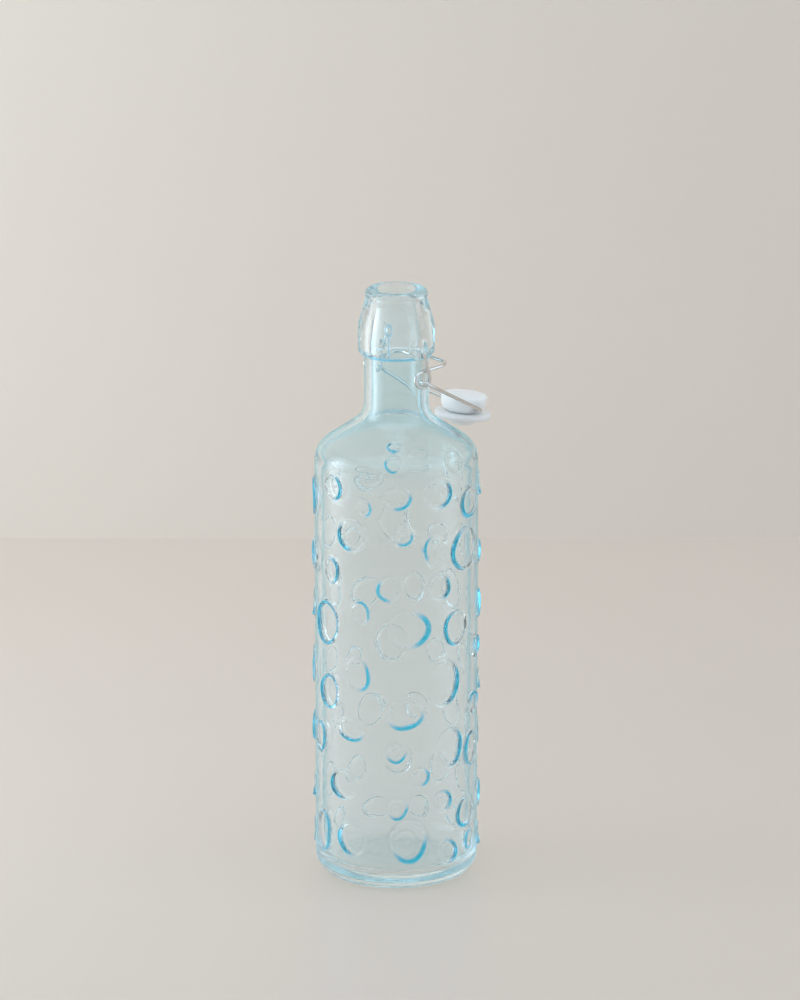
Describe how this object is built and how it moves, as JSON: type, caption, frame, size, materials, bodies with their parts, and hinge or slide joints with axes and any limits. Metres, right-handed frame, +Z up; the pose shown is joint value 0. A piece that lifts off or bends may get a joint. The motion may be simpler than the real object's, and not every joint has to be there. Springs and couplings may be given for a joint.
{
  "type": "swing-top glass bottle",
  "caption": "Tall cylindrical glass bottle with embossed bubbles and a wire swing-top stopper, shown open with the stopper hanging on the shoulder.",
  "frame": {"origin": "centre of the flat underside of the base, on the bottle's axis", "axes": "+Z up along the bottle's axis; the closure turns about an axis along Y, and its finger loop and hanging stopper lie toward +X"},
  "size_m": [0.1022, 0.0882, 0.316],
  "materials": {
    "aqua_glass": "clear, pale aqua, smooth, moulded",
    "closure_wire": "drawn wire, satin to bright",
    "white_plastic": "milky white, slightly translucent",
    "pale_silicone": "pale, translucent, satin"
  },
  "bodies": {
    "bottle": {"glass_bottle": "aqua_glass"},
    "lever": {"lever_wire": "closure_wire"},
    "bail": {"bail_wire": "closure_wire"},
    "stopper": {"stopper_head": "white_plastic", "gasket": "pale_silicone"}
  },
  "joints": [
    {"name": "lever_pivot", "type": "hinge", "parent": "bottle", "child": "lever", "pos_m": [0, 0, 0.2874], "axis": [0, -1, 0], "range_deg": [0, 36]},
    {"name": "bail_pivot", "type": "hinge", "parent": "lever", "child": "bail", "pos_m": [0, 0, 0.2705], "axis": [0, -1, 0], "range_deg": [0, 60]},
    {"name": "stopper_pivot", "type": "hinge", "parent": "bail", "child": "stopper", "pos_m": [0.04385, 0, 0.24649], "axis": [0, -1, 0], "range_deg": [-65, 0]}
  ]
}
